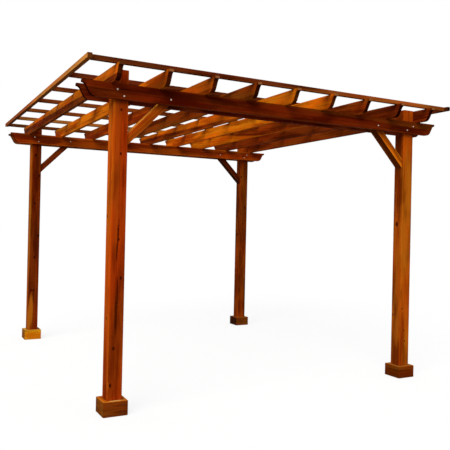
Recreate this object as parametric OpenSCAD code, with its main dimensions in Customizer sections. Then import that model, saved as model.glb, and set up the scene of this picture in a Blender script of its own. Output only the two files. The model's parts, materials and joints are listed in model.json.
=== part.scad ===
// Open wooden pergola: four square posts, two doubled beams, nine rafters, seven roof slats.
// Millimetres, +Z up. Origin: on the ground, at the centre between the four posts.
// +X runs along the beams, +Y runs along the rafters towards the back.

/* [Posts] */
// side of the square posts
post_size = 122; // [90:1:160]
// distance between post centres along the beams
span_x = 3035; // [2000:5:4500]
// distance between post centres along the rafters
span_y = 3315; // [2000:5:5000]
// height of the posts above the top edge of the beams
post_stub = 120; // [20:1:200]

/* [Boards] */
// thickness of beam boards, rafters and base boards
board_thick = 38; // [25:1:50]
// gap left where two pieces meet face to face
joint_gap = 0.3; // [0.1:0.1:1]

/* [Beams] */
// clear height under the beams
head_room = 2460; // [2000:5:3000]
// depth of the beam boards
beam_deep = 120; // [90:1:200]
// length of the beams past the outer face of the posts
beam_overhang = 260; // [100:1:600]

/* [Rafters] */
// number of rafters, the outer two run beside the posts
rafter_count = 9; // [3:1:15]
// depth of the rafters
rafter_deep = 120; // [90:1:200]
// depth of the seat cut into each rafter where it crosses a beam board
seat_deep = 4; // [0:1:20]
// length of the rafters past the outer face of the beams
rafter_overhang = 206; // [100:1:600]

/* [Shaped ends] */
// height of the upright nose left at the tip
nose_height = 20; // [10:1:40]
// radius of the hollow under the nose
cove_radius = 35; // [10:1:60]
// radius of the belly that runs into the lower edge
belly_radius = 60; // [20:1:90]
// steepness of the straight stretch between hollow and belly
tail_angle = 62; // [45:1:75]

/* [Roof slats] */
// number of roof slats
slat_count = 7; // [2:1:15]
// side of the square slats and side trims
slat_size = 38; // [25:1:60]
// distance from the rafter tips to the outer face of the end slats
slat_setback = 57; // [0:1:200]
// distance from the outer face of the posts to the outer face of the side trims
trim_overhang = 274; // [80:1:600]
// length of the side trims past the end slats
trim_past = 38; // [0:1:57]

/* [Knee braces] */
// depth of the braces, square to their length
brace_deep = 64; // [40:1:100]
// width of the braces, across the beams
brace_wide = 89; // [38:1:110]
// drop from the underside of the beam to the lower edge of the brace on the post
brace_drop = 348; // [150:1:600]
// distance from the top edge of the beam to the end of the brace
brace_end_gap = 12; // [2:1:60]

/* [Base trims] */
// height of the boards boxed round the foot of each post
base_high = 116; // [60:1:200]
// space between the base boards and the post
base_gap = 0.8; // [0.2:0.1:5]
// gap in the mitred corners
mitre_gap = 0.4; // [0.1:0.1:2]

/* [Hidden] */
over = 1;
tail_bite = 0.5;
post_half = post_size / 2;
beam_top = head_room + beam_deep;
post_top = beam_top + post_stub;
// centre lines of the two beam boards, from the post centre
board_off = post_half + joint_gap + board_thick / 2;
beam_length = span_x + post_size + 2 * beam_overhang;
beam_out_y = span_y / 2 + board_off + board_thick / 2;
rafter_length = 2 * (beam_out_y + rafter_overhang);
rafter_low = beam_top + joint_gap - seat_deep;
rafter_top = rafter_low + rafter_deep;
rafter_first_x = -span_x / 2 - board_off;
rafter_pitch = -2 * rafter_first_x / (rafter_count - 1);
slat_low = rafter_top + joint_gap;
slat_first_y = -rafter_length / 2 + slat_setback + slat_size / 2;
slat_pitch = -2 * slat_first_y / (slat_count - 1);
trim_out_x = span_x / 2 + post_half + trim_overhang;
slat_length = 2 * (trim_out_x - slat_size - joint_gap);
trim_length = -2 * slat_first_y + slat_size + 2 * trim_past;
base_in = post_half + base_gap;
base_out = base_in + board_thick;
wood = [0.50, 0.22, 0.07];
pale_wood = [0.62, 0.32, 0.12];
dark_wood = [0.33, 0.12, 0.04];

// ---- shared shapes ----

// what is cut away under the tip of a board that starts at x = 0 and lies on z = 0:
// a hollow below the nose, a straight stretch, and a belly that meets the lower edge
module tail_waste(deep, thick) {
    sin_a = sin(tail_angle);
    cos_a = cos(tail_angle);
    nose_z = deep - nose_height;
    cove_end = [cove_radius * sin_a, nose_z - cove_radius * (1 - cos_a)];
    belly_z = belly_radius * (1 - cos_a);
    run = (cove_end[1] - belly_z) / sin_a;
    belly_start = [cove_end[0] + run * cos_a, belly_z];
    belly_x = belly_start[0] + belly_radius * sin_a;
    // the straight stretch starts just inside one round and ends just inside the other
    bite = [tail_bite * sin_a, tail_bite * cos_a];
    wide = thick + 2 * over;
    translate([0, wide / 2, 0])
    rotate([90, 0, 0])
    difference() {
        union() {
            linear_extrude(wide)
                polygon([
                    [-over, -over], [belly_x, -over], [belly_x, 0],
                    belly_start + bite, cove_end - bite,
                    [0, nose_z - cove_radius], [-over, nose_z - cove_radius]
                ]);
            translate([0, nose_z - cove_radius, 0])
                cylinder(h = wide, r = cove_radius, $fn = 96);
        }
        translate([belly_x, belly_radius, -over])
            cylinder(h = wide + 2 * over, r = belly_radius, $fn = 96);
    }
}

// a board along X, centred on x = 0 and y = 0, with both ends shaped
module shaped_board(length, deep, thick) {
    difference() {
        translate([-length / 2, -thick / 2, 0])
            cube([length, thick, deep]);
        for (turn = [0, 180])
            rotate([0, 0, turn])
            translate([-length / 2, 0, 0])
            tail_waste(deep, thick);
    }
}

// ---- posts and base trims ----

module post(side_x, side_y) {
    color(wood)
    translate([side_x * span_x / 2 - post_half, side_y * span_y / 2 - post_half, 0])
        cube([post_size, post_size, post_top]);
}

// four mitred boards on edge, boxed round the foot of a post
module base_trim(side_x, side_y) {
    cut = mitre_gap / 2;
    color(pale_wood)
    translate([side_x * span_x / 2, side_y * span_y / 2, 0])
        for (turn = [0, 90, 180, 270])
            rotate([0, 0, turn])
            linear_extrude(base_high)
            polygon([
                [-base_out + cut, -base_out], [base_out - cut, -base_out],
                [base_in - cut, -base_in], [-base_in + cut, -base_in]
            ]);
}

// ---- beams and braces ----

// row is -1 for the front beam and 1 for the back beam, face is the side of the posts
module beam_board(row, face) {
    color(dark_wood)
    translate([0, row * span_y / 2 + face * board_off, head_room])
        shaped_board(beam_length, beam_deep, board_thick);
}

// a brace at 45 degrees, from the inner face of a post up between the two beam boards
module brace(side_x, side_y) {
    low = head_room - brace_drop;
    rise = beam_top - brace_end_gap - low;
    thick_z = brace_deep * sqrt(2);
    color(wood)
    translate([side_x * (span_x / 2 - post_half - joint_gap), side_y * span_y / 2, low])
        mirror([side_x > 0 ? 1 : 0, 0, 0])
        translate([0, brace_wide / 2, 0])
        rotate([90, 0, 0])
        linear_extrude(brace_wide)
        polygon([[0, 0], [rise, rise], [rise - thick_z, rise], [0, thick_z]]);
}

// ---- roof ----

module rafter(number) {
    color(wood)
    translate([rafter_first_x + (number - 1) * rafter_pitch, 0, 0])
    difference() {
        translate([0, 0, rafter_low])
            rotate([0, 0, 90])
            shaped_board(rafter_length, rafter_deep, board_thick);
        // seat cuts, one over each beam board
        for (row = [-1, 1], face = [-1, 1])
            translate([
                -board_thick / 2 - over,
                row * span_y / 2 + face * board_off - board_thick / 2 - joint_gap,
                rafter_low - over
            ])
            cube([board_thick + 2 * over, board_thick + 2 * joint_gap, over + seat_deep]);
    }
}

module slat(number) {
    color(wood)
    translate([-slat_length / 2, slat_first_y + (number - 1) * slat_pitch - slat_size / 2, slat_low])
        cube([slat_length, slat_size, slat_size]);
}

module side_trim(side_x) {
    color(pale_wood)
    translate([side_x * (trim_out_x - slat_size / 2) - slat_size / 2, -trim_length / 2, slat_low])
        cube([slat_size, trim_length, slat_size]);
}

// ---- nodes ----

post(-1, -1);  // post_front_left
post(1, -1);  // post_front_right
post(-1, 1);  // post_back_left
post(1, 1);  // post_back_right
base_trim(-1, -1);  // base_trim_front_left
base_trim(1, -1);  // base_trim_front_right
base_trim(-1, 1);  // base_trim_back_left
base_trim(1, 1);  // base_trim_back_right
beam_board(-1, -1);  // front_beam_outer
beam_board(-1, 1);  // front_beam_inner
beam_board(1, -1);  // back_beam_inner
beam_board(1, 1);  // back_beam_outer
brace(-1, -1);  // brace_front_left
brace(1, -1);  // brace_front_right
brace(-1, 1);  // brace_back_left
brace(1, 1);  // brace_back_right
rafter(1);  // rafter_1
rafter(2);  // rafter_2
rafter(3);  // rafter_3
rafter(4);  // rafter_4
rafter(5);  // rafter_5
rafter(6);  // rafter_6
rafter(7);  // rafter_7
rafter(8);  // rafter_8
rafter(9);  // rafter_9
slat(1);  // slat_1
slat(2);  // slat_2
slat(3);  // slat_3
slat(4);  // slat_4
slat(5);  // slat_5
slat(6);  // slat_6
slat(7);  // slat_7
side_trim(-1);  // side_trim_left
side_trim(1);  // side_trim_right
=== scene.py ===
import json
from math import cos, pi, radians, sin

import bpy
import numpy as np
from mathutils import Matrix, Vector

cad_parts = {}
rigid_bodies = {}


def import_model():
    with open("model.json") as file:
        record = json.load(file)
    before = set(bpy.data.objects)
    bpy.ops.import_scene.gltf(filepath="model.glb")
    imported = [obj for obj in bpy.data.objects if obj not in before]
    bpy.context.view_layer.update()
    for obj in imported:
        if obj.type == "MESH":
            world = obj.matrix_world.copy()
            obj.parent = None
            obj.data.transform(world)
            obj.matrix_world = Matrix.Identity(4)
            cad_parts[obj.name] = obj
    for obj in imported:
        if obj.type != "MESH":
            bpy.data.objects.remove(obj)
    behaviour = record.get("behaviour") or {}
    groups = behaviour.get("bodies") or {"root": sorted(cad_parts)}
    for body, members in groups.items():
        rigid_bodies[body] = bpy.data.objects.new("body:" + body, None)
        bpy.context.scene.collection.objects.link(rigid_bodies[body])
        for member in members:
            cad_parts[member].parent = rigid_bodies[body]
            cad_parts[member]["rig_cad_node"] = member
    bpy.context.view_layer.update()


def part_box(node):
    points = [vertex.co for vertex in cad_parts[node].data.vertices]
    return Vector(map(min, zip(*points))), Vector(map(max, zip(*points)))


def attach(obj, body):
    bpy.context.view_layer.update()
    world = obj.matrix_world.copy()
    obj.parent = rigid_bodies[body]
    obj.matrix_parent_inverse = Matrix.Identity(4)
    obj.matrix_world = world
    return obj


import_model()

# ---- posts ----
# Four square softwood posts, planed on all sides, brushed with a red-brown stain.
# Their corners are eased, and they show straight grain, a few knots and fine drying checks.


def shade(code):
    """A colour written as a six-figure web shade, turned into linear light by the usual display curve."""
    part = [int(code[k:k + 2], 16) / 255 for k in (0, 2, 4)]
    return [c / 12.92 if c < 0.04 else ((c + 0.055) / 1.055) ** 2.4 for c in part] + [1.0]


def put(tree, kind, *feeds, **settings):
    """Adds one shader node. Feeds go to its inputs in order: a socket is linked, a plain value is set and
    None is skipped."""
    made = tree.nodes.new("ShaderNode" + kind)
    for word, value in settings.items():
        setattr(made, word, value)
    for slot, feed in enumerate(feeds):
        if isinstance(feed, bpy.types.NodeSocket):
            tree.links.new(feed, made.inputs[slot])
        elif feed is not None:
            made.inputs[slot].default_value = feed
    return made


def sum_of(tree, kind, *feeds):
    """One step of arithmetic on numbers, as a node; gives its result."""
    return put(tree, "Math", *feeds, operation=kind).outputs[0]


def step_of(tree, kind, *feeds):
    """One step of arithmetic on vectors, as a node; gives its result."""
    return put(tree, "VectorMath", *feeds, operation=kind).outputs[0]


def times(tree, first, second):
    """One number times another, as a node."""
    return sum_of(tree, "MULTIPLY", first, second)


def length_of(tree, feed):
    """The length of a vector, as a node."""
    return put(tree, "VectorMath", feed, operation="LENGTH").outputs[1]


def ease(tree, value, start, end, low=0.0, high=1.0):
    """A smooth step: low up to start, high from end on."""
    made = put(tree, "MapRange", value, start, end, low, high, interpolation_type="SMOOTHSTEP")
    return made.outputs[0]


def blotches(tree, place, size, detail=2.0, rough=0.55):
    """Soft noise about 0.5; size is how many blotches fit in a metre along each direction."""
    spread = step_of(tree, "MULTIPLY", place, size)
    return put(tree, "TexNoise", spread, None, 1.0, detail, rough).outputs[0]


def line_noise(tree, along, scale, detail, rough):
    """Soft noise about 0.5 along a line."""
    return put(tree, "TexNoise", None, along, scale, detail, rough, noise_dimensions="1D").outputs[0]


def blend_of(tree, amount, first, second, kind="MIX"):
    """Mixes two colours by an amount from 0 to 1."""
    made = tree.nodes.new("ShaderNodeMix")
    made.data_type, made.blend_type = "RGBA", kind
    for slot, feed in ((0, amount), (6, first), (7, second)):
        if isinstance(feed, bpy.types.NodeSocket):
            tree.links.new(feed, made.inputs[slot])
        else:
            made.inputs[slot].default_value = feed
    return made.outputs[2]


def new_finish(name):
    """A new material with its node tree and its main shader."""
    made = bpy.data.materials.new(name)
    made.use_nodes = True
    return made, made.node_tree, made.node_tree.nodes["Principled BSDF"]


def new_group(name, takes, gives):
    """An empty node group with named inputs (kind, name, value) and outputs (kind, name)."""
    tree = bpy.data.node_groups.new(name, "ShaderNodeTree")
    for kind, word, value in takes:
        made = tree.interface.new_socket(word, in_out="INPUT", socket_type="NodeSocket" + kind)
        made.default_value = value
    for kind, word in gives:
        tree.interface.new_socket(word, in_out="OUTPUT", socket_type="NodeSocket" + kind)
    return tree, tree.nodes.new("NodeGroupInput").outputs, tree.nodes.new("NodeGroupOutput").inputs


def make_grain():
    """Sawn softwood. A ring's number is its distance from the heart line divided by the ring width; the line
    drifts sideways along the board. Each ring runs from pale spring wood to a dark summer line, knots push
    the rings aside, and the wood beyond a distance from the heart is sapwood."""
    takes = [
        ("Vector", "Place", (0, 0, 0)), ("Vector", "Heart", (0, 0.05, 0.03)), ("Vector", "Drift", (0, 0, 0)),
        ("Float", "Piece", 0.0), ("Float", "Ring Width", 0.004), ("Float", "Knots", 0.4),
        ("Float", "Push", 0.0), ("Float", "Sapwood From", 0.13),
    ]
    gives = ("Rings", "Bands", "Fibres", "Clouds", "Knot", "Check", "Sapwood", "Resin", "Warmth")
    tree, given, out = new_group("softwood grain", takes, [("Float", word) for word in gives])

    # every piece lies somewhere else in the noise, and its fibres sway by up to 25 mm
    apart = put(tree, "CombineXYZ", *[given["Piece"]] * 3).outputs[0]
    own = step_of(tree, "ADD", given["Place"], step_of(tree, "MULTIPLY", apart, (3.7, 1.9, 2.3)))
    spread = step_of(tree, "MULTIPLY", own, (0.8, 2.6, 2.6))
    sway = put(tree, "TexNoise", spread, None, 1.0, 2.0, 0.5).outputs[1]
    sway = step_of(tree, "MULTIPLY", step_of(tree, "SUBTRACT", sway, (0.5, 0.5, 0.5)), (0, 0.05, 0.05))

    # stray knots: a share of the cells, each some 0.28 m long, has a frayed one in it
    spread = step_of(tree, "MULTIPLY", own, (3.6, 5.2, 5.2))
    cells = put(tree, "TexVoronoi", spread, None, 1.0, feature="F1")
    lot = put(tree, "SeparateColor", cells.outputs[1]).outputs[0]
    there = sum_of(tree, "LESS_THAN", lot, given["Knots"])
    far = sum_of(tree, "MULTIPLY_ADD", blotches(tree, own, (90, 90, 90), 1.0), 0.04, cells.outputs[0])
    knot = times(tree, ease(tree, far, 0.085, 0.06), there)
    push = times(tree, ease(tree, cells.outputs[0], 0.3, 0.02, 0.0, 0.016), there)

    # rings by the distance from the heart line, of uneven width, with a quick edge on the outer side
    along = put(tree, "SeparateXYZ", given["Place"]).outputs[0]
    heart = put(tree, "VectorMath", given["Drift"], None, None, along, operation="SCALE").outputs[0]
    heart = step_of(tree, "ADD", heart, given["Heart"])
    from_heart = step_of(tree, "SUBTRACT", step_of(tree, "ADD", given["Place"], sway), heart)
    reach = length_of(tree, step_of(tree, "MULTIPLY", from_heart, (0, 1, 1)))
    reach = sum_of(tree, "ADD", sum_of(tree, "ADD", reach, push), given["Push"])
    turn = sum_of(tree, "DIVIDE", reach, given["Ring Width"])
    turn = sum_of(tree, "MULTIPLY_ADD", line_noise(tree, reach, 55.0, 1.0, 0.5), 2.4, turn)
    turn = sum_of(tree, "FRACT", turn)
    rings = times(tree, ease(tree, turn, 0.25, 0.86), ease(tree, turn, 1.0, 0.92))

    # bands of good and lean years, and the ragged edge of the sapwood
    band = line_noise(tree, sum_of(tree, "ADD", reach, given["Piece"]), 42.0, 3.0, 0.65)
    sap_edge = sum_of(tree, "SUBTRACT", reach, given["Sapwood From"])
    sap_edge = sum_of(tree, "MULTIPLY_ADD", blotches(tree, own, (0.9, 12, 12)), 0.03, sap_edge)
    sap = ease(tree, sap_edge, 0.006, 0.024)

    # hair-thin checks where two noises agree, resin in long threads, and slow changes of tone and warmth
    split = sum_of(tree, "SUBTRACT", blotches(tree, own, (0.55, 46, 46), 1.0), 0.5)
    split = ease(tree, sum_of(tree, "ABSOLUTE", split), 0.012, 0.003)
    check = times(tree, split, ease(tree, blotches(tree, own, (1.4, 7, 7), 1.0), 0.56, 0.62))
    threads = ease(tree, blotches(tree, own, (1.0, 62, 62), 2.0), 0.56, 0.70)
    resin = times(tree, threads, ease(tree, blotches(tree, own, (0.9, 8, 8), 1.0), 0.42, 0.60))
    clouds = ease(tree, blotches(tree, own, (1.9, 10, 10), 4.0), 0.3, 0.7)
    elsewhere = step_of(tree, "ADD", own, (5.1, 2.7, 8.3))
    warmth = ease(tree, blotches(tree, elsewhere, (1.3, 12, 12), 2.0), 0.35, 0.65)
    fibres = blotches(tree, own, (5, 240, 240), 3.0)
    for slot, value in enumerate((rings, band, fibres, clouds, knot, check, sap, resin, warmth)):
        tree.links.new(value, out[slot])
    return tree


def make_arris():
    """How near a point of a squared timber is to one of its corners: 0 on the flats, 1 on the corner.
    Each direction's nearness is one less the distance to its face over the reach, and the second largest
    of the three counts."""
    tree, given, out = new_group(
        "arris wear",
        [("Vector", "Place", (0, 0, 0)), ("Vector", "Half", (1, 0.06, 0.06)), ("Float", "Reach", 0.006)],
        [("Float", "Arris")],
    )
    depth = step_of(tree, "SUBTRACT", given["Half"], step_of(tree, "ABSOLUTE", given["Place"]))
    near = [
        sum_of(tree, "SUBTRACT", 1.0, sum_of(tree, "DIVIDE", way, given["Reach"]))
        for way in put(tree, "SeparateXYZ", depth).outputs[:3]
    ]
    first = sum_of(tree, "MINIMUM", near[0], near[1])
    second = sum_of(tree, "MINIMUM", near[1], near[2])
    third = sum_of(tree, "MINIMUM", near[0], near[2])
    most = sum_of(tree, "MAXIMUM", sum_of(tree, "MAXIMUM", first, second), third)
    ragged = sum_of(tree, "MULTIPLY_ADD", blotches(tree, given["Place"], (70, 70, 70), 2.0), 0.8, -0.4)
    tree.links.new(ease(tree, sum_of(tree, "ADD", most, ragged), 0.1, 0.8), out[0])
    return tree


spot_fade = 3.2  # the ground round a spot fades out at this many times its reach


def make_spot():
    """A knot or a resin streak at a known spot. Nearness falls from 1 to 0 as the distance, each direction
    divided by the spot's own reach and the edge frayed by noise, goes from a half to 1."""
    tree, given, out = new_group(
        "knot at a spot",
        [("Vector", "Place", (0, 0, 0)), ("Vector", "Spot", (0, 0, 0)),
         ("Vector", "Reach", (0.01, 0.01, 0.01))],
        [("Float", "Inside"), ("Float", "Around")],
    )
    off = step_of(tree, "SUBTRACT", given["Place"], given["Spot"])
    far = length_of(tree, step_of(tree, "DIVIDE", off, given["Reach"]))
    ragged = blotches(tree, given["Place"], (60, 260, 260), 2.0)
    frayed = sum_of(tree, "MULTIPLY_ADD", ragged, 0.9, sum_of(tree, "ADD", far, -0.45))
    tree.links.new(ease(tree, frayed, 1.0, 0.5), out[0])
    tree.links.new(ease(tree, far, spot_fade, 0.4), out[1])
    return tree


grain, arris, spot = make_grain(), make_arris(), make_spot()


def near_spot(tree, place, where, reach):
    """How far a point lies inside a spot, and inside the ground around it, each from 0 to 1."""
    near = put(tree, "Group", node_tree=spot)
    near.inputs["Spot"].default_value, near.inputs["Reach"].default_value = where, reach
    tree.links.new(place, near.inputs["Place"])
    return near.outputs


def place_in_piece(tree, middle, lie):
    """Object coordinates and normals turned so that x runs along the timber, from its middle."""
    turn = Matrix.Rotation(lie[2], 4, "Z") @ Matrix.Rotation(lie[1], 4, "Y")
    turn = turn @ Matrix.Rotation(lie[0], 4, "X")
    back = -(turn @ Vector(middle))
    source = put(tree, "TexCoord").outputs
    return (
        put(tree, "Mapping", source["Object"], tuple(back), tuple(lie)).outputs[0],
        put(tree, "Mapping", source["Normal"], None, tuple(lie), vector_type="NORMAL").outputs[0],
    )


def tones_of(code, sap=None):
    """From a stain shade: the pale wood it leaves thin, the deep wood that drinks it, the dark of ends and
    knots, then the pale and deep of the sapwood, which may have its own shade. Each is a shade times a share
    per colour."""
    inner = np.array(shade(code)[:3])
    outer = np.array(shade(sap)[:3]) if sap else inner * (1.4, 1.7, 1.3)
    made = (inner * (1.55, 1.75, 1.9), inner * (0.55, 0.42, 0.35), inner * (0.10, 0.05, 0.05),
            outer * (1.3, 1.4, 1.4), outer * (0.7, 0.6, 0.5))
    return [[*np.minimum(c, 0.9).tolist(), 1.0] for c in made]


end_stain = 0.85  # how far the sawn ends turn to the dark tone
tip_stain, tip_length = 0.45, 0.05  # the same for the tip of a shaped end, and how long the tip is
# the pale pink of the nose: weathered end grain, with a painted highlight
nose_weathering_and_highlight = shade("b87848")
nose_low, nose_high = 0.024, 0.018  # the nose's weathering and painted highlight fade in between these depths under the top edge
warm_cast, cool_cast = (1.09, 0.86, 0.75, 1), (0.93, 1.15, 1.25, 1)  # the reddest and the least red stretches


def stained_wood(made, piece, place, facing, half, tones, heart, drift=(0, 0, 0), ring=0.004, knots=0.4,
                 checks=0.5, sap=0.13, wear=0.3, resin=0.5, mottle=1.0, nose=0.0, tail=0.0, above=0.0,
                 below=0.0, spots=(), streaks=(), patches=(), bare=()):
    """Stained timber: the pale and deep tones meet by rings, bands, fibres and clouds; ends drink more stain.
    Spots are knots, streaks are resin, and patches are stretches made darker (or paler, below 0): stain that
    took unevenly, and in a few places painted shade and painted light. Bare ones let the sapwood's pale shade
    through, and on the back beam one stands for a painted highlight along its lower edge. Above and below say
    how far the faces turned to +z and -z are painted paler, as painted light, or darker below 0, as painted
    shade. Tail is the length of the shaped end, whose cut drinks stain all along, and nose is how far the
    square end left over it is painted pale and pink: weathered end grain with a painted highlight."""
    tree = made.node_tree
    base = tree.nodes["Principled BSDF"]
    pale, deep, dark, sap_pale, sap_deep = tones
    figure = put(tree, "Group", node_tree=grain)
    for word, value in (("Heart", heart), ("Drift", drift), ("Piece", piece), ("Ring Width", ring),
                        ("Knots", knots), ("Sapwood From", sap)):
        figure.inputs[word].default_value = value
    tree.links.new(place, figure.inputs["Place"])
    rings, bands, fibres, clouds, knot, check, sapwood, dripped, warmth = figure.outputs

    # knots and resin in known spots, besides the stray ones
    push = 0.0
    for *where, size in spots:
        inside, around = near_spot(tree, place, where, (1.5 * size, size, size))
        knot = sum_of(tree, "MAXIMUM", knot, inside)
        push = sum_of(tree, "MULTIPLY_ADD", around, size, push)
    if spots:
        tree.links.new(push, figure.inputs["Push"])
    dripped = times(tree, dripped, resin)
    for *where, long, wide in streaks:
        inside, _ = near_spot(tree, place, where, (long, wide, wide))
        dripped = sum_of(tree, "MAXIMUM", dripped, times(tree, inside, 1.3))

    # from pale at 0 to deep at 1, and from heartwood to sapwood
    tone = sum_of(tree, "MULTIPLY_ADD", rings, 0.28, 0.38)
    for part, share in ((bands, 1.4), (fibres, 0.6), (clouds, 0.6 * mottle)):
        tone = sum_of(tree, "MULTIPLY_ADD", sum_of(tree, "SUBTRACT", part, 0.5), share, tone)
    for *where, long, wide, amount in patches:
        reach = (long / spot_fade, wide / spot_fade, wide / spot_fade)
        _, around = near_spot(tree, place, where, reach)
        tone = sum_of(tree, "MULTIPLY_ADD", around, amount, tone)
    tone = ease(tree, tone, 0.0, 1.0)
    inner, outer = blend_of(tree, tone, pale, deep), blend_of(tree, tone, sap_pale, sap_deep)
    colour = blend_of(tree, sapwood, inner, outer)
    colour = blend_of(tree, 1.0, colour, blend_of(tree, warmth, warm_cast, cool_cast), "MULTIPLY")

    # where the stain is thin or gone, with a painted highlight among the bare stretches, and worn corners
    for *where, long, wide in bare:
        inside, _ = near_spot(tree, place, where, (long, wide, wide))
        colour = blend_of(tree, inside, colour, sap_pale)
    lighter = put(tree, "Group", node_tree=arris)
    lighter.inputs["Half"].default_value = half
    tree.links.new(place, lighter.inputs["Place"])
    colour = blend_of(tree, times(tree, lighter.outputs[0], wear), colour, sap_pale)
    lengthwise, _, upward = put(tree, "SeparateXYZ", facing).outputs
    # faces turned up or down are painted paler as painted light, or darker for a negative amount as painted
    # shade
    for way, amount in ((1, above), (-1, below)):
        if amount:
            painted_light_and_shade = ease(tree, times(tree, upward, way), 0.75, 0.95, 0.0, abs(amount))
            colour = blend_of(tree, painted_light_and_shade, colour, sap_pale if amount > 0 else dark)

    # the ends, sawn square or shaped
    along = sum_of(tree, "ABSOLUTE", lengthwise)
    end = ease(tree, along, 0.2, 0.75)
    reach, _, level = put(tree, "SeparateXYZ", place).outputs
    if tail:
        reach = sum_of(tree, "ABSOLUTE", reach)
        in_tail = ease(tree, reach, half[0] - tail, half[0] - tail + 0.01)
        end = sum_of(tree, "MAXIMUM", end, times(tree, in_tail, ease(tree, upward, -0.3, -0.7)))
        tip = ease(tree, reach, half[0] - tip_length, half[0] - 0.01, 0.0, tip_stain)
        colour = blend_of(tree, tip, colour, dark)
    colour = blend_of(tree, times(tree, end, end_stain), colour, dark)
    if nose:
        high_up = ease(tree, level, half[2] - nose_low, half[2] - nose_high)
        square = times(tree, ease(tree, along, 0.8, 0.95), high_up)
        colour = blend_of(tree, times(tree, square, nose), colour, nose_weathering_and_highlight)

    # dark marks on the flats, then the sheen and the relief
    flat = sum_of(tree, "SUBTRACT", 1.0, end)
    crack = times(tree, times(tree, check, checks), flat)
    for mark, share in ((dripped, 0.62), (knot, 0.9), (crack, 0.8)):
        colour = blend_of(tree, times(tree, times(tree, mark, share), flat), colour, dark)
    tree.links.new(colour, base.inputs["Base Color"])
    rough = sum_of(tree, "MULTIPLY_ADD", fibres, 0.3, 0.42)
    tree.links.new(sum_of(tree, "MULTIPLY_ADD", end, 0.2, rough), base.inputs["Roughness"])
    height = sum_of(tree, "MULTIPLY_ADD", rings, 0.25, times(tree, fibres, 0.5))
    height = sum_of(tree, "SUBTRACT", height, times(tree, crack, 1.6))
    bump = put(tree, "Bump", 0.55, 0.0011)
    tree.links.new(height, bump.inputs["Height"])
    tree.links.new(bump.outputs[0], base.inputs["Normal"])
    base.inputs["Specular IOR Level"].default_value = 0.002  # oiled once and long dry: next to no sheen


node_object = {o["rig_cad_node"]: o for o in bpy.data.objects if "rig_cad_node" in o}


def wood_for(node, finish, width=0.003):
    """Puts a finish on a packed timber, joins its loose triangles and rounds its sharp corners to the
    width."""
    piece = node_object[node]
    piece.data.materials.clear()
    piece.data.materials.append(finish)
    join = piece.modifiers.new("join", "WELD")
    join.merge_threshold = 0.00005
    soft = piece.modifiers.new("eased corners", "BEVEL")
    soft.width, soft.segments = width, 2
    soft.limit_method, soft.angle_limit = "ANGLE", radians(35)
    soft.harden_normals = False


def box_of(node):
    """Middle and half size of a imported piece, as arrays."""
    low, high = [np.array(c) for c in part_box(node)]
    return (low + high) / 2, (high - low) / 2


# how a timber lies; its own x, y and z then point right, back, up, or back, left, up, or up, back, left
along_x, along_y, along_z = (0, 0, 0), (0, 0, -pi / 2), (0, pi / 2, 0)
box_order = {along_x: (0, 1, 2), along_y: (1, 0, 2), along_z: (2, 1, 0)}


def stain(node, lie, number, tones, heart, corner=0.003, half=None, shift=(0, 0, 0), **figure):
    """Gives a packed timber its own stained wood, the grain along it, and eases its corners. Half is its
    half size, length first, and shift is from the middle of its box to its own: both are needed only on a
    slant."""
    middle, size = box_of(node)
    if half is None:
        half = tuple(size[k] for k in box_order[lie])
    made, tree, _ = new_finish(node + "_wood")
    place, facing = place_in_piece(tree, middle + shift, lie)
    stained_wood(made, number, place, facing, half, tones, heart, **figure)
    wood_for(node, made, corner)


# a spot is given by its place from the middle of the timber and its size, a streak or a bare one by its
# place, length and width, and a patch by these and how much darker it is made, or paler below 0
stain(
    "post_front_left", along_z, 1.3, tones_of("953305", "b5500a"), (0, -0.03, -0.09), 0.004,
    drift=(0, 0, -0.01), ring=0.0045, knots=0.0, checks=0.6, sap=0.15,
    spots=[(1.035, -0.061, -0.005, 0.011), (0.691, -0.061, -0.007, 0.011), (0.103, -0.061, 0.002, 0.008),
           (0.021, -0.061, -0.008, 0.009), (-0.281, -0.061, -0.029, 0.012), (-0.829, -0.061, 0.016, 0.012),
           (-1.116, -0.061, 0.038, 0.013), (0.2, 0.03, 0.061, 0.012), (-0.6, -0.01, 0.061, 0.01)],
    streaks=[(-0.57, -0.061, 0.004, 0.2, 0.014), (-0.42, -0.061, -0.004, 0.2, 0.009),
             (0.03, -0.061, 0.001, 0.15, 0.008), (0.12, -0.061, -0.006, 0.12, 0.004),
             (-0.08, -0.061, 0.010, 0.10, 0.005)],
    patches=[(0.75, -0.061, 0.03, 0.7, 0.09, -0.25), (-0.5, -0.061, 0.0, 0.35, 0.06, 0.25),
             (-1.2, 0, 0.061, 0.6, 0.12, 0.4), (0.9, 0.03, 0.061, 0.8, 0.1, -0.5)],
)
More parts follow.
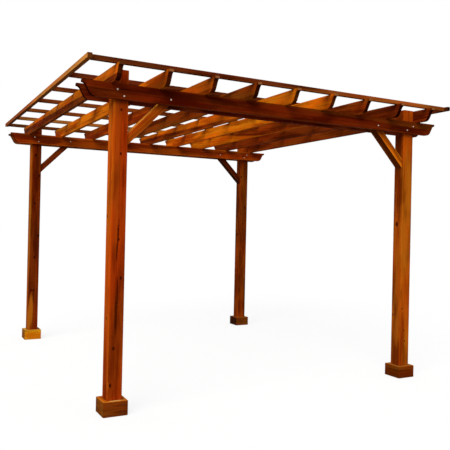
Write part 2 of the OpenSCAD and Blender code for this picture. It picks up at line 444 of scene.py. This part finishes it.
# on the front right post the last patch darkens the top of the left face: a painted shadow of beam and brace
stain(
    "post_front_right", along_z, 3.5, tones_of("8a3b07", "a84e0a"), (0, 0.09, 0.03), 0.004, ring=0.0045,
    knots=0.2, checks=0.6, sap=0.14, mottle=1.7,
    spots=[(0.195, 0.012, 0.061, 0.022), (-0.73, 0.039, 0.061, 0.010), (-0.66, -0.061, 0.039, 0.009),
           (-0.88, -0.061, 0.007, 0.009), (-0.99, -0.061, -0.005, 0.009)],
    patches=[(-0.25, -0.061, 0.01, 0.8, 0.1, -0.3), (-1.15, -0.04, 0.0, 0.45, 0.13, 0.35),
             (-0.2, 0, 0.061, 0.6, 0.08, -0.2), (1.1, 0.02, 0.061, 0.35, 0.12, 0.7)],
)
stain(
    "post_back_left", along_z, 5.6, tones_of("6f2504", "9c520e"), (0, -0.03, -0.11), 0.004, knots=0.3,
    checks=0.8, sap=0.168, mottle=1.3,
    spots=[(0.97, -0.061, 0.005, 0.017), (0.71, -0.061, -0.039, 0.014), (0.36, -0.061, 0.007, 0.013),
           (-0.05, -0.061, -0.047, 0.016), (-0.32, -0.061, -0.003, 0.015), (-0.735, -0.061, 0.03, 0.012),
           (-0.735, -0.061, 0.0, 0.012)],
    patches=[(0.4, -0.061, -0.02, 0.9, 0.1, 0.3)],
    bare=[(-0.98, -0.061, 0.026, 0.24, 0.034), (-1.1, -0.061, 0.05, 0.2, 0.03)],
)
stain(
    "post_back_right", along_z, 7.8, tones_of("803406", "92480b"), (0, 0.05, 0.03), 0.004, knots=0.3,
    checks=0.8, sap=0.16, mottle=1.3,
    spots=[(0.86, -0.061, 0.049, 0.013), (0.4, -0.061, -0.027, 0.017), (0.0, -0.007, 0.061, 0.02),
           (-0.55, 0.033, 0.061, 0.015)],
)

# ---- base trims ----
# Four short softwood boards stood on edge and boxed round each post foot, mitred at the corners.
# They are screwed to one another through the mitres and brushed with the same stain as the posts.

pale_spot_tones = tones_of("b89868")


def stain_base(node, number, tones, side_tones, top_tones, pale_spots):
    """Wood that runs along each of the four boards: the mitres lie where x and y from the post's middle are
    equal. The side pair has its own tones, and so have the top edges, bleached by the weather. Pale spots are
    painted in a pale wood shade over the stain, each a place from the middle and a reach."""
    middle, half = box_of(node)
    made, tree, _ = new_finish(node + "_wood")
    source = put(tree, "TexCoord").outputs
    place = put(tree, "Mapping", source["Object"], tuple(-middle)).outputs[0]
    x, y, z = put(tree, "SeparateXYZ", place).outputs
    nx, ny, nz = put(tree, "SeparateXYZ", source["Normal"]).outputs
    wide = sum_of(tree, "GREATER_THAN", sum_of(tree, "ABSOLUTE", y), sum_of(tree, "ABSOLUTE", x))
    swap = sum_of(tree, "SUBTRACT", 1.0, wide)
    top = ease(tree, nz, 0.4, 0.9)
    mixed = [
        blend_of(tree, top, blend_of(tree, swap, front, side), over)
        for front, side, over in zip(tones, side_tones, top_tones)
    ]
    for where, reach in pale_spots:
        in_pale_spot = near_spot(tree, place, where, reach)[0]
        mixed = [blend_of(tree, in_pale_spot, tone, over) for tone, over in zip(mixed, pale_spot_tones)]

    def turned(a, b, c):
        along = sum_of(tree, "ADD", times(tree, a, wide), times(tree, b, swap))
        over = sum_of(tree, "ADD", times(tree, b, wide), times(tree, a, swap))
        return put(tree, "CombineXYZ", along, over, c).outputs[0]

    stained_wood(
        made, number, turned(x, y, z), turned(nx, ny, nz), tuple(half), mixed, (0, 0.02, -0.11),
        ring=0.008, knots=0.4, checks=0.3, wear=0.6, resin=0.8, mottle=2.2,
    )
    wood_for(node, made)


# the stain on the front and back, on the sides and on the top edges, and pale spots; the much darker sides
# of the back bases are painted shade
base_trims = (
    ("base_trim_front_left", "602808", "60300a", "964e14",
     (((0.012, -0.072, 0.058), (0.075, 0.016, 0.016)),)),
    ("base_trim_front_right", "642604", "582403", "78421c", ()),
    ("base_trim_back_left", "cc6e0c", "7c4612", "a46428", ()),
    ("base_trim_back_right", "632c08", "2e1206", "703c18", ()),
)
for number, (node, code, side_code, top_code, pale_spots) in enumerate(base_trims):
    stain_base(node, 11.4 + number * 1.83, tones_of(code), tones_of(side_code), tones_of(top_code), pale_spots)

# ---- beams ----
# Two doubled beams of planed softwood: a board on the front and one on the back of each pair of posts.
# The ends are sawn to a hollow and a belly, and bolts clamp the boards against the posts.

tail_length = 0.11
beam_boards = (
    # the front outer board's underside is painted paler: painted light from below
    ("front_beam_outer", tones_of("631d03", "6e2c06"), dict(
        below=0.9, drift=(0, 0, -0.02), sap=0.185,
        patches=[(-1.1, -0.02, 0.0, 1.4, 0.09, 0.3), (0.2, -0.02, 0.035, 0.9, 0.05, -0.35)])),
    ("front_beam_inner", tones_of("6a2206"), dict(sap=0.2)),
    # the back inner board's first patch and bare strip, along its lower front edge, are a painted highlight
    ("back_beam_inner", tones_of("913604", "a84b0b"), dict(
        sap=0.14, patches=[(0.0, -0.02, -0.06, 2.5, 0.05, -0.35), (-1.8, -0.02, 0, 0.3, 0.15, 0.6)],
        bare=[(0.0, -0.019, -0.062, 1.9, 0.016)])),
    ("back_beam_outer", tones_of("75330c"), dict(sap=0.2)),
)
for number, (node, tones, figure) in enumerate(beam_boards):
    stain(node, along_x, 21.7 + number * 2.39, tones, (0, 0.03, -0.14 + 0.03 * number),
          ring=0.005, knots=0.45, checks=0.3, mottle=1.8, tail=tail_length, **figure)

# ---- knee braces ----
# A short softwood timber at 45 degrees from the inner face of each post up between the two beam boards.
# It is sawn square, mitred where it meets the post, and held at the top by one through bolt.

brace_half = (0.33, 0.0445, 0.032)
# a brace's middle lies this far above its box's middle, and as far to the outside: its end cuts are slanted
brace_off = brace_half[2] / 2 ** 0.5
# the stain on heartwood and sapwood, and how far the faces turned to the brace's own +z and -z are painted
# paler, as painted light, or darker below 0, as painted shade
braces = (
    ("brace_front_left", "a14307", "e4842a", 1.0, 0.0),
    ("brace_front_right", "bc650c", "e4842a", -0.8, 0.9),
    ("brace_back_left", "83350a", "9a5020", 0.0, 0.0),
    ("brace_back_right", "531e06", "9a5020", -0.6, 0.0),
)
for number, (node, code, sap_code, above, below) in enumerate(braces):
    slope, side = (pi / 4, -1) if "left" in node else (3 * pi / 4, 1)
    stain(node, (0, slope, 0), 31.2 + number * 1.71, tones_of(code, sap_code), (0, 0.15, 0.1 * side),
          half=brace_half, shift=(side * brace_off, 0, brace_off), knots=0.4, checks=0.3, sap=0.3,
          above=above, below=below)

# ---- bolts ----
# Galvanised carriage bolts through both beam boards and the post, two to a post on a slant,
# and one through the top of each brace. Round heads outside, washer and nut on the other face.


def skin(levels):
    """Closes rings of points, one above the other: a band of squares between neighbours, and over each end a
    fan of triangles from a point in its middle."""
    rings, steps = levels.shape[:2]
    k, j = np.meshgrid(np.arange(rings - 1), np.arange(steps), indexing="ij")
    n = (j + 1) % steps
    bands = np.stack([k * steps + j, k * steps + n, (k + 1) * steps + n, (k + 1) * steps + j], -1)
    middles = [[0, 0, levels[0, 0, 2]], [0, 0, levels[-1, 0, 2]]]
    points = np.concatenate([levels.reshape(-1, 3), middles])
    low, high, top = len(points) - 2, len(points) - 1, (rings - 1) * steps
    pairs = list(zip(j[0], n[0]))
    fans = [(low, b, a) for a, b in pairs] + [(high, top + a, top + b) for a, b in pairs]
    return points, [tuple(f) for f in bands.reshape(-1, 4)] + fans


def turned_shape(radius, height, round_steps=32):
    """A shape turned on a lathe about z: radius and height are given along the profile, and the angle runs
    round."""
    angle = np.linspace(0, 2 * pi, round_steps, endpoint=False)
    return skin(np.array([
        np.stack([r * np.cos(angle), r * np.sin(angle), np.full(round_steps, h)], -1)
        for r, h in zip(radius, height)
    ]))


def six_sided(across, height):
    """A nut: a hexagon whose radius is half its width over the cosine of the angle from the nearest flat,
    with a chamfer, and the end of the bolt 3 mm proud of it."""
    steps, chamfer, proud = 36, 0.0015, 0.003
    angle = np.linspace(0, 2 * pi, steps, endpoint=False)
    flat = across / 2 / np.cos((angle + pi / 6) % (pi / 3) - pi / 6)
    chamfered, bolt = np.minimum(flat, across / 2 * 1.07), np.full(steps, across * 0.3)
    levels = ((chamfered, 0.0), (flat, 0.0012), (flat, height - chamfer), (chamfered, height),
              (bolt, height), (bolt, height + proud))
    return skin(np.array([
        np.stack([r * np.cos(angle), r * np.sin(angle), np.full(steps, h)], -1) for r, h in levels
    ]))


def set_out(name, shape, places, finish):
    """One piece made of copies of a shape, each moved and turned; the places are 4 by 4 matrices."""
    points, faces = shape
    every = np.concatenate([points @ np.array(m)[:3, :3].T + np.array(m)[:3, 3] for m in places])
    all_faces = [tuple(int(i) + k * len(points) for i in f) for k in range(len(places)) for f in faces]
    mesh = bpy.data.meshes.new(name)
    mesh.from_pydata(every.tolist(), [], all_faces)
    mesh.update()
    piece = bpy.data.objects.new(name, mesh)
    bpy.context.scene.collection.objects.link(piece)
    mesh.materials.append(finish)
    mesh.polygons.foreach_set("use_smooth", np.ones(len(mesh.polygons), bool))
    mesh.set_sharp_from_angle(angle=radians(32))
    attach(piece, "root")
    return piece


def galvanised():
    """Dull zinc: faint spangles and a little brown dust in blotches."""
    made, tree, base = new_finish("dull zinc")
    place = put(tree, "TexCoord").outputs["Object"]
    spangle = put(tree, "TexVoronoi", place, None, 420.0).outputs[1]
    tone = put(tree, "SeparateColor", spangle).outputs[0]
    dust = ease(tree, blotches(tree, place, (60, 60, 60), 3.0), 0.5, 0.75, 0.0, 0.45)
    colour = blend_of(tree, tone, shade("bcaca0"), shade("dccec2"))
    tree.links.new(blend_of(tree, dust, colour, shade("7a5a40")), base.inputs["Base Color"])
    tree.links.new(sum_of(tree, "MULTIPLY_ADD", dust, 0.5, 0.38), base.inputs["Roughness"])
    base.inputs["Metallic"].default_value = 0.75
    return made


def facing_front(x, y, z):
    """Turns a shape's z towards the front, at a place."""
    return Matrix.Translation((x, y, z)) @ Matrix.Rotation(pi / 2, 4, "X")


def facing_back(x, y, z):
    """Turns a shape's z towards the back, at a place."""
    return Matrix.Translation((x, y, z)) @ Matrix.Rotation(-pi / 2, 4, "X")


zinc = galvanised()
washer_thick = 0.002
head = turned_shape([0.0072, 0.0076, 0.0074, 0.0066, 0.0052, 0.0034, 0.0014],
                    [0, 0.0006, 0.0016, 0.0030, 0.0041, 0.0048, 0.0051])
washer = turned_shape([0.0150, 0.0150, 0.0142], [0, 0.0016, washer_thick])
nut = six_sided(0.017, 0.0085)
beam_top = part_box("front_beam_outer")[1][2]
post_x = box_of("post_front_right")[0][0]
# which post, how far from its middle, and how far below the beam's top: bored by eye, no two alike
drilled = (
    ("front", "front_beam_outer", "front_beam_inner",
     ((-1, -0.043, 0.046), (-1, 0.012, 0.094), (-1, 0.406, 0.078),
      (1, -0.435, 0.078), (1, -0.053, 0.090), (1, 0.027, 0.046))),
    ("back", "back_beam_inner", "back_beam_outer",
     ((-1, -0.033, 0.038), (-1, 0.015, 0.090), (-1, 0.418, 0.056),
      (1, -0.428, 0.072), (1, -0.028, 0.088), (1, 0.018, 0.042))),
)
for row, near_board, far_board, bores in drilled:
    front_y, back_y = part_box(near_board)[0][1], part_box(far_board)[1][1]
    centres = [(side * post_x + off, beam_top - down) for side, off, down in bores]
    heads = [facing_front(x, front_y, z) for x, z in centres]
    washers = [facing_back(x, back_y, z) for x, z in centres]
    nuts = [facing_back(x, back_y + washer_thick, z) for x, z in centres]
    set_out(row + "_bolt_heads", head, heads, zinc)
    set_out(row + "_bolt_washers", washer, washers, zinc)
    set_out(row + "_bolt_nuts", nut, nuts, zinc)

# ---- rafters ----
# Nine softwood boards on edge, seated in shallow notches over the beams, the outer two beside the posts.
# Their tails are sawn like the beam ends, and each board took the stain in its own way.

# the stain on heartwood and sapwood, how high the heart ran from the board's middle and its drift, how far
# from it the sapwood starts, how far the underside is painted paler as painted light, how far the nose is
# painted pale as weathered end grain with a painted highlight, and the patches
rafters = (
    ("732c05", "c3640f", -0.12, 0.015, 0.13, 0, 0.1, ()),
    ("b95c08", "c46c0c", -0.12, 0.0, 0.16, 0.6, 0.55,
     ((-1.8, 0.019, 0, 0.5, 0.12, 0.55), (1.7, 0.019, 0, 0.6, 0.1, 0.25))),
    ("963c05", "b0570b", -0.10, 0.01, 0.18, 0.6, 0.55,
     ((-1.7, 0.019, 0, 0.6, 0.12, -0.2), (1.5, 0.019, 0, 1.3, 0.12, 0.35),
      (0.1, 0.019, 0.01, 0.12, 0.05, 0.5))),
    ("6c2c05", "a65909", -0.13, 0.0, 0.2, 0.6, 0.55,
     ((0.35, 0.019, -0.035, 0.5, 0.06, -0.9), (0.75, 0.019, -0.02, 0.3, 0.07, -0.4))),
    ("782d05", "bb5c09", -0.12, 0.025, 0.105, 0.6, 0.55, ((1.7, 0.019, 0, 0.7, 0.12, 0.3),)),
    ("be5b07", "c9640b", -0.14, 0.0, 0.2, 0.6, 0.55,
     ((-0.35, 0.019, 0.02, 0.35, 0.05, 0.4), (1.4, 0.019, 0.0, 0.5, 0.08, 0.3))),
    ("7a2d05", "c36007", 0.12, 0.1, 0.17, 1, 0.55, ()),
    ("632004", "75300a", -0.12, 0.0, 0.165, 0.6, 0.55, ((-1.7, 0.019, 0, 0.6, 0.12, 0.2),)),
    ("6a2605", "76330a", 0.13, 0.0, 0.2, 0.6, 0.55, ()),
)
for number, (code, sap_code, heart, drift, sap, below, nose, patches) in enumerate(rafters):
    stain(f"rafter_{number + 1}", along_y, 41.9 + number * 1.37, tones_of(code, sap_code),
          (0, 0.02 - 0.02 * (number % 3), heart), drift=(0, 0, drift), ring=0.0048, knots=0.35, checks=0.2,
          sap=sap, mottle=1.6, tail=tail_length, nose=nose, below=below, patches=patches)

# ---- roof slats ----
# Seven square softwood slats laid across the rafters, evenly spread from front to back.
# They are sawn from thin stock, stained like the rest and screwed down into each rafter.

front_slat = dict(drift=(0, 0.03, 0.0), sap=0.085, patches=[(1.8, 0, 0, 0.3, 0.1, 0.8)])
slats = (
    ("5a230a", "9a501c", front_slat), ("64280f", None, {}), ("7a330f", None, {}), ("6c3412", None, {}),
    ("70360f", None, {}), ("88521e", None, {}), ("5a2b0c", None, {}),
)
for number, (code, sap_code, figure) in enumerate(slats):
    stain(f"slat_{number + 1}", along_x, 61.3 + number * 1.59, tones_of(code, sap_code),
          (0, 0.05, 0.03 - 0.02 * (number % 3)), knots=0.35, checks=0.2, mottle=1.3, **figure)

# ---- side trims ----
# A square softwood slat on each side that closes the ends of the roof slats.
# It is the same stock as the slats and is screwed into their end grain.

# the left trim's underside is painted darker: painted shade
stain("side_trim_left", along_y, 81.1, tones_of("b4662a"), (0, 0.04, -0.03), knots=0.35, checks=0.2,
      below=-0.5, patches=[(1.7, 0.019, 0, 2.6, 0.3, 0.7), (-1.6, 0.019, 0, 1.4, 0.2, -0.35)])
stain("side_trim_right", along_y, 83.0, tones_of("4e200a"), (0, 0.04, -0.03), knots=0.35, checks=0.2)

# ---- screws ----
# Bronze-coated deck screws: one through each slat into each rafter, two through the side trims into each
# slat end, and two at each end of the base boards. Heads in the roof are sunk just below the face, and
# those in the base boards are flush with it.


def coated():
    """Brown-bronze screw coating, a little worn."""
    made, tree, base = new_finish("bronze coating")
    place = put(tree, "TexCoord").outputs["Object"]
    wear = ease(tree, blotches(tree, place, (500, 500, 500), 2.0), 0.5, 0.7)
    tree.links.new(blend_of(tree, wear, shade("33231a"), shade("5a4634")), base.inputs["Base Color"])
    base.inputs["Metallic"].default_value = 0.3
    base.inputs["Roughness"].default_value = 0.55
    return made


bronze = coated()
screw = turned_shape([0.0020, 0.0044, 0.0046, 0.0042, 0.0020, 0.0017, 0.0006],
                     [-0.003, -0.0006, 0.0002, 0.0005, 0.0005, -0.0012, -0.0014], 20)
sunk, flush = 0.0006, 0.0004  # how deep the rim of a head lies
trim_spread = 0.009  # the two screws in a slat's end, from its middle
base_along, base_up = 0.058, 0.03  # the screws in a base board, from its middle
rafter_x = [box_of(f"rafter_{n}")[0][0] for n in range(1, 10)]
slat_y = [box_of(f"slat_{n}")[0][1] for n in range(1, 8)]
slat_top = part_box("slat_1")[1][2] - sunk
slat_screws = [Matrix.Translation((x, y, slat_top)) for x in rafter_x for y in slat_y]
set_out("slat_screws", screw, slat_screws, bronze)
trim_x, trim_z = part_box("side_trim_right")[1][0] - sunk, box_of("side_trim_right")[0][2]
trim_screws = [
    Matrix.Translation((side * trim_x, y + dy, trim_z)) @ Matrix.Rotation(side * pi / 2, 4, "Y")
    for side in (-1, 1) for y in slat_y for dy in (-trim_spread, trim_spread)
]
set_out("trim_screws", screw, trim_screws, bronze)
base_screws = []
for node, *_ in base_trims:
    middle, half = box_of(node)
    base_screws += [
        Matrix.Translation(middle) @ Matrix.Rotation(quarter * pi / 2, 4, "Z")
        @ facing_front(along, -half[1] + flush, up)
        for quarter in range(4) for along in (-base_along, base_along) for up in (-base_up, base_up)
    ]
set_out("base_screws", screw, base_screws, bronze)

# ---- floor, light and camera ----
# A plain white floor, even white surroundings and soft daylight from the front left.
# The camera stands at eye level in front of the left corner and looks a little to the right.

scene = bpy.context.scene
floor_half = 60.0
floor_below = 0.0005  # the floor lies just under the feet


def seen_by_eye(tree):
    """1 for what the camera sees, straight or through glass or in a mirror, and 0 for the light that lands
    on things."""
    path = put(tree, "LightPath").outputs
    seen = sum_of(tree, "MAXIMUM", path["Is Camera Ray"], path["Is Glossy Ray"])
    return sum_of(tree, "MAXIMUM", seen, path["Is Transmission Ray"])


def white_floor():
    """White to the eye, with the object's shadow kept; dull to the light that bounces back up."""
    made, tree, _ = new_finish("white floor")
    tree.nodes.clear()
    seen = seen_by_eye(tree)
    matt = put(tree, "BsdfDiffuse", (0.20, 0.20, 0.20, 1)).outputs[0]
    glow = put(tree, "Emission", (1, 1, 1, 1), 0.80).outputs[0]
    lit = put(tree, "AddShader", matt, glow).outputs[0]
    dull = put(tree, "BsdfDiffuse", (0.20, 0.165, 0.13, 1)).outputs[0]
    both = put(tree, "MixShader", seen, dull, lit).outputs[0]
    tree.links.new(both, tree.nodes.new("ShaderNodeOutputMaterial").inputs[0])
    return made


floor_mesh = bpy.data.meshes.new("floor")
corners = [(x * floor_half, y * floor_half, -floor_below) for x, y in ((-1, -1), (1, -1), (1, 1), (-1, 1))]
floor_mesh.from_pydata(corners, [], [(0, 1, 2, 3)])
floor_mesh.materials.append(white_floor())
floor = bpy.data.objects.new("floor", floor_mesh)
scene.collection.objects.link(floor)

world = scene.world or bpy.data.worlds.new("daylight")
scene.world = world
world.use_nodes = True
tree = world.node_tree
tree.nodes.clear()
sky = put(tree, "Background", (0.95, 0.98, 1.0, 1), 0.55).outputs[0]
white = put(tree, "Background", (1, 1, 1, 1), 1.0).outputs[0]
both = put(tree, "MixShader", seen_by_eye(tree), sky, white).outputs[0]
tree.links.new(both, tree.nodes.new("ShaderNodeOutputWorld").inputs[0])

sun_data = bpy.data.lights.new("soft sun", "SUN")
sun_data.energy, sun_data.angle, sun_data.color = 2.8, radians(50), (1.0, 0.97, 0.92)
sun = bpy.data.objects.new("soft sun", sun_data)
scene.collection.objects.link(sun)
sun.rotation_euler = Vector((0.60, 0.52, -0.60)).to_track_quat("-Z", "Y").to_euler()

# the camera's own directions: ahead, level to the right, and up, the last two then leant a little
turn, tip, lean = radians(27.772), radians(0.244), radians(1.268)
ahead = Vector((sin(turn) * cos(tip), cos(turn) * cos(tip), sin(tip)))
level = Vector((cos(turn), -sin(turn), 0))
rise = level.cross(ahead)
right = cos(lean) * level + sin(lean) * rise
upward = -sin(lean) * level + cos(lean) * rise
eye = bpy.data.cameras.new("eye level")
eye.lens, eye.sensor_width, eye.sensor_fit = 48.5, 36.0, "HORIZONTAL"
eye.shift_x, eye.shift_y = 0.01166, -0.01101
eye.clip_start, eye.clip_end = 0.05, 300
camera = bpy.data.objects.new("eye level", eye)
scene.collection.objects.link(camera)
camera.matrix_world = Matrix.Translation((-3.0229, -6.2748, 1.5198)) @ Matrix((
    (right.x, upward.x, -ahead.x, 0), (right.y, upward.y, -ahead.y, 0), (right.z, upward.z, -ahead.z, 0),
    (0, 0, 0, 1),
))
scene.camera = camera
scene.view_settings.view_transform = "Standard"
